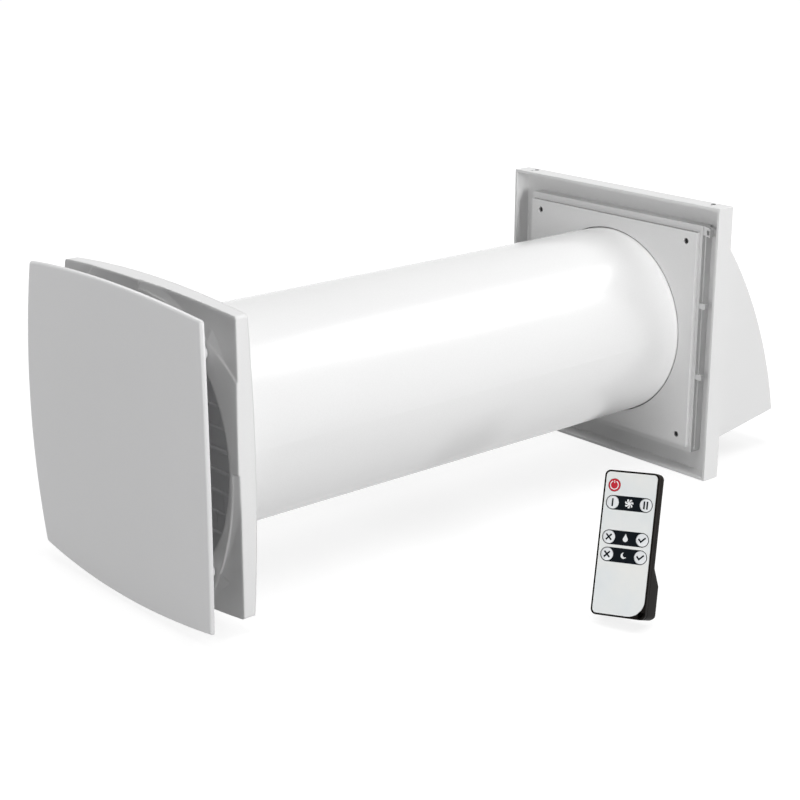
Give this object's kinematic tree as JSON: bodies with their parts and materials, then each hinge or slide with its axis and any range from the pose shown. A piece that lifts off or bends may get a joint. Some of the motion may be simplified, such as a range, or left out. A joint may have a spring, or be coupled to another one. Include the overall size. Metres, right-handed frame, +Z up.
{
  "type": "heat recovery unit",
  "caption": "Single-room heat recovery unit: domed square indoor unit with shutter, wall duct with fan and ceramic core, outdoor plate with rain hood, infrared remote.",
  "frame": {"origin": "on the duct axis in the plane of the indoor wall face", "axes": "+Y along the duct axis towards the outside, +Z up, +X to the right for someone in the room who faces the unit"},
  "size_m": [0.3966, 0.6259, 0.232],
  "materials": {
    "panel_white": "satin",
    "housing_white": "satin",
    "inner_grey": "matt",
    "steel": "ground",
    "circuit_board": "solder mask",
    "black_plastic": "satin",
    "rubber_grey": "matt",
    "duct_white": "smooth",
    "foam_grey": "fine-grained foam",
    "filter_media": "fibrous",
    "ceramic": "matte",
    "copper": "enamelled wire",
    "magnet": "plated",
    "overlay_silver": "silvery film",
    "key_red": "satin",
    "key_white": "satin",
    "dark_lens": "clear tint"
  },
  "bodies": {
    "root": {"indoor_housing": "housing_white", "back_plate": "inner_grey", "housing_screws": "steel", "shutter_frame": "inner_grey", "shutter_actuator": "inner_grey", "control_board": "circuit_board", "power_module": "black_plastic", "terminal_block": "inner_grey", "humidity_sensor": "circuit_board", "cable_grommet": "rubber_grey", "duct_tube": "duct_white", "cartridge_shell_top": "foam_grey", "cartridge_shell_bottom": "foam_grey", "seal_rings": "foam_grey", "filter_indoor": "filter_media", "filter_outdoor": "filter_media", "regenerator": "ceramic", "fan_frame": "black_plastic", "motor_stator": "copper", "fan_bearings": "steel", "flow_straightener": "inner_grey", "fan_lead": "rubber_grey", "mounting_plate": "housing_white", "outer_hood": "housing_white", "outdoor_grille": "inner_grey"},
    "panel": {"front_panel": "panel_white", "panel_pins": "panel_white"},
    "shutter_drive": {"shutter_link": "inner_grey", "actuator_plunger": "inner_grey"},
    "shutter_blade_1": {"shutter_blade_1": "inner_grey"},
    "shutter_blade_2": {"shutter_blade_2": "inner_grey"},
    "shutter_blade_3": {"shutter_blade_3": "inner_grey"},
    "shutter_blade_4": {"shutter_blade_4": "inner_grey"},
    "shutter_blade_5": {"shutter_blade_5": "inner_grey"},
    "shutter_blade_6": {"shutter_blade_6": "inner_grey"},
    "shutter_blade_7": {"shutter_blade_7": "inner_grey"},
    "shutter_blade_8": {"shutter_blade_8": "inner_grey"},
    "shutter_blade_9": {"shutter_blade_9": "inner_grey"},
    "rotor": {"impeller": "black_plastic", "magnet_ring": "magnet", "fan_shaft": "steel"},
    "remote": {"remote_front_shell": "black_plastic", "remote_back_shell": "black_plastic", "remote_overlay": "overlay_silver", "remote_board": "circuit_board", "remote_ir_led": "dark_lens", "remote_indicator": "dark_lens", "remote_battery": "steel", "remote_contacts": "steel"},
    "remote_key_power": {"remote_key_power": "key_red"},
    "remote_key_speed_1": {"remote_key_speed_1": "key_white"},
    "remote_key_speed_2": {"remote_key_speed_2": "key_white"},
    "remote_key_humidity_off": {"remote_key_humidity_off": "key_white"},
    "remote_key_humidity_on": {"remote_key_humidity_on": "key_white"},
    "remote_key_night_off": {"remote_key_night_off": "key_white"},
    "remote_key_night_on": {"remote_key_night_on": "key_white"},
    "battery_door": {"remote_battery_door": "black_plastic"}
  },
  "joints": [
    {"name": "panel_pull", "type": "slide", "parent": "root", "child": "panel", "axis": [0, -1, 0], "range_m": [0, 0.04]},
    {"name": "shutter_drive_slide", "type": "slide", "parent": "root", "child": "shutter_drive", "axis": [0, 0, -1], "range_m": [0, 0.00609]},
    {"name": "shutter_blade_1_swing", "type": "hinge", "parent": "root", "child": "shutter_blade_1", "pos_m": [0, -0.0055, 0.0684], "axis": [-1, 0, 0], "range_deg": [0, 75]},
    {"name": "shutter_blade_2_swing", "type": "hinge", "parent": "root", "child": "shutter_blade_2", "pos_m": [0, -0.0055, 0.0532], "axis": [-1, 0, 0], "range_deg": [0, 75]},
    {"name": "shutter_blade_3_swing", "type": "hinge", "parent": "root", "child": "shutter_blade_3", "pos_m": [0, -0.0055, 0.038], "axis": [-1, 0, 0], "range_deg": [0, 75]},
    {"name": "shutter_blade_4_swing", "type": "hinge", "parent": "root", "child": "shutter_blade_4", "pos_m": [0, -0.0055, 0.0228], "axis": [-1, 0, 0], "range_deg": [0, 75]},
    {"name": "shutter_blade_5_swing", "type": "hinge", "parent": "root", "child": "shutter_blade_5", "pos_m": [0, -0.0055, 0.0076], "axis": [-1, 0, 0], "range_deg": [0, 75]},
    {"name": "shutter_blade_6_swing", "type": "hinge", "parent": "root", "child": "shutter_blade_6", "pos_m": [0, -0.0055, -0.0076], "axis": [-1, 0, 0], "range_deg": [0, 75]},
    {"name": "shutter_blade_7_swing", "type": "hinge", "parent": "root", "child": "shutter_blade_7", "pos_m": [0, -0.0055, -0.0228], "axis": [-1, 0, 0], "range_deg": [0, 75]},
    {"name": "shutter_blade_8_swing", "type": "hinge", "parent": "root", "child": "shutter_blade_8", "pos_m": [0, -0.0055, -0.038], "axis": [-1, 0, 0], "range_deg": [0, 75]},
    {"name": "shutter_blade_9_swing", "type": "hinge", "parent": "root", "child": "shutter_blade_9", "pos_m": [0, -0.0055, -0.0532], "axis": [-1, 0, 0], "range_deg": [0, 75]},
    {"name": "fan_spin", "type": "hinge", "parent": "root", "child": "rotor", "pos_m": [0, 0.23, 0], "axis": [0, 1, 0], "continuous": true},
    {"name": "remote_lift", "type": "slide", "parent": "root", "child": "remote", "axis": [0, 0, 1], "range_m": [0, 0.12]},
    {"name": "remote_key_power_press", "type": "slide", "parent": "remote", "child": "remote_key_power", "axis": [-0.273, 0.8819, -0.3843], "range_m": [0, 0.0005], "stiffness_N_per_m": 400},
    {"name": "remote_key_speed_1_press", "type": "slide", "parent": "remote", "child": "remote_key_speed_1", "axis": [-0.273, 0.8819, -0.3843], "range_m": [0, 0.0005], "stiffness_N_per_m": 400},
    {"name": "remote_key_speed_2_press", "type": "slide", "parent": "remote", "child": "remote_key_speed_2", "axis": [-0.273, 0.8819, -0.3843], "range_m": [0, 0.0005], "stiffness_N_per_m": 400},
    {"name": "remote_key_humidity_off_press", "type": "slide", "parent": "remote", "child": "remote_key_humidity_off", "axis": [-0.273, 0.8819, -0.3843], "range_m": [0, 0.0005], "stiffness_N_per_m": 400},
    {"name": "remote_key_humidity_on_press", "type": "slide", "parent": "remote", "child": "remote_key_humidity_on", "axis": [-0.273, 0.8819, -0.3843], "range_m": [0, 0.0005], "stiffness_N_per_m": 400},
    {"name": "remote_key_night_off_press", "type": "slide", "parent": "remote", "child": "remote_key_night_off", "axis": [-0.273, 0.8819, -0.3843], "range_m": [0, 0.0005], "stiffness_N_per_m": 400},
    {"name": "remote_key_night_on_press", "type": "slide", "parent": "remote", "child": "remote_key_night_on", "axis": [-0.273, 0.8819, -0.3843], "range_m": [0, 0.0005], "stiffness_N_per_m": 400},
    {"name": "battery_door_slide", "type": "slide", "parent": "remote", "child": "battery_door", "axis": [0.2096, -0.3353, -0.9185], "range_m": [0, 0.03]}
  ],
  "couplings": [
    {"joint": "shutter_blade_1_swing", "follows": "shutter_drive_slide", "rad_per_m": 215},
    {"joint": "shutter_blade_2_swing", "follows": "shutter_drive_slide", "rad_per_m": 215},
    {"joint": "shutter_blade_3_swing", "follows": "shutter_drive_slide", "rad_per_m": 215},
    {"joint": "shutter_blade_4_swing", "follows": "shutter_drive_slide", "rad_per_m": 215},
    {"joint": "shutter_blade_5_swing", "follows": "shutter_drive_slide", "rad_per_m": 215},
    {"joint": "shutter_blade_6_swing", "follows": "shutter_drive_slide", "rad_per_m": 215},
    {"joint": "shutter_blade_7_swing", "follows": "shutter_drive_slide", "rad_per_m": 215},
    {"joint": "shutter_blade_8_swing", "follows": "shutter_drive_slide", "rad_per_m": 215},
    {"joint": "shutter_blade_9_swing", "follows": "shutter_drive_slide", "rad_per_m": 215}
  ]
}
